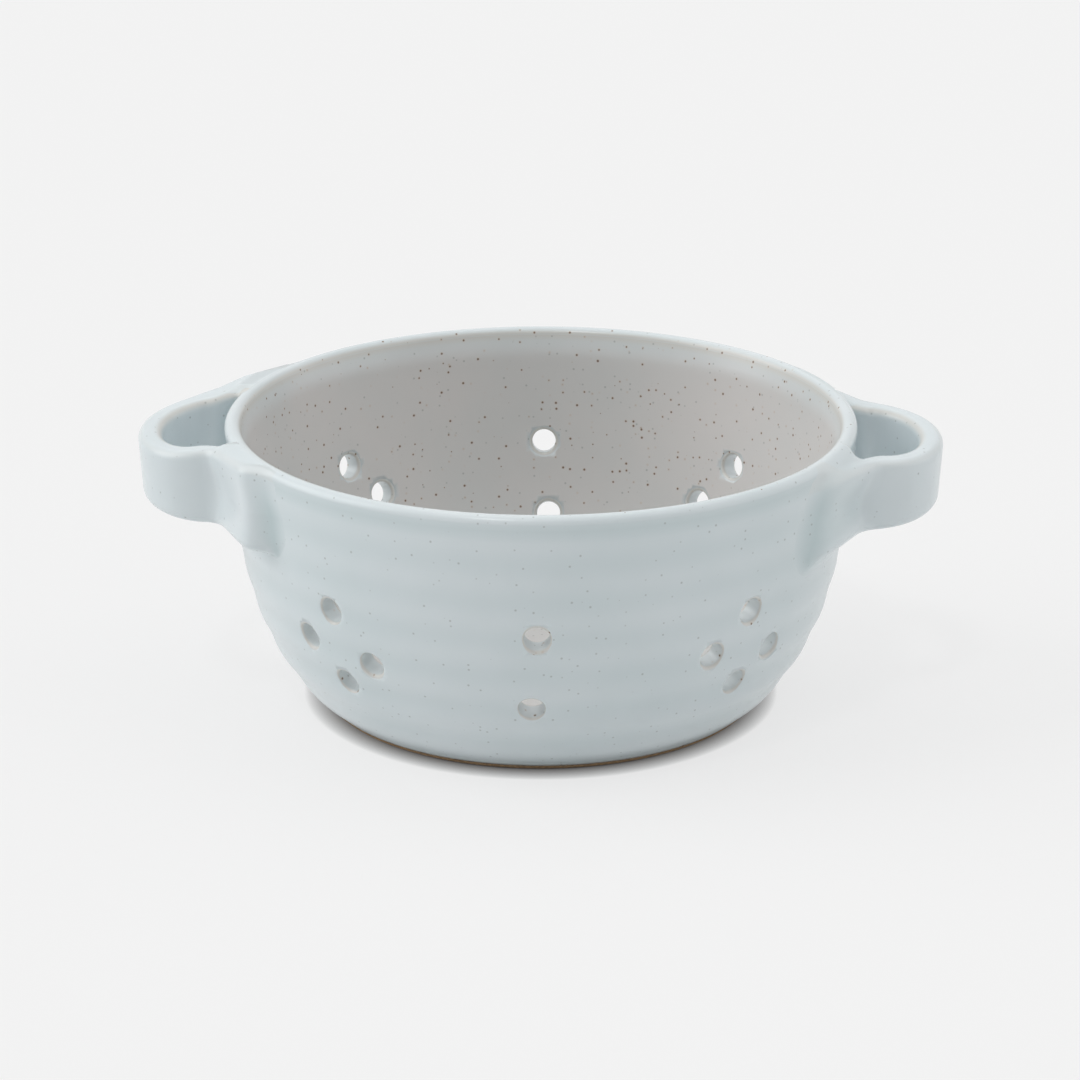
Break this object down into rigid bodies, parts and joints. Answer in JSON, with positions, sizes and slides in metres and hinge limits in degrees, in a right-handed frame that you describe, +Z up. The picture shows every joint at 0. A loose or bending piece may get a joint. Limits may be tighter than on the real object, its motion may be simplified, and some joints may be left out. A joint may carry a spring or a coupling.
{
  "type": "berry colander bowl",
  "caption": "Small thrown stoneware bowl with drain holes through its wall and floor, a bare clay foot and a strap handle on each side, for rinsing and serving berries.",
  "frame": {"origin": "on the surface that the bowl stands on, under the middle of the bowl", "axes": "+Z up, X through both handles with the heavier handle at -X, the front of the bowl faces -Y"},
  "size_m": [0.179, 0.14, 0.065],
  "materials": {
    "glaze": "satin-gloss pale blue-grey glaze with fine iron specks",
    "bare_clay": "unglazed fired stoneware"
  },
  "bodies": {
    "root": {"bowl": "glaze", "foot_ring": "bare_clay", "left_strap": "glaze", "left_front_pad": "glaze", "left_rear_pad": "glaze", "right_strap": "glaze", "right_front_pad": "glaze", "right_rear_pad": "glaze"}
  },
  "joints": []
}
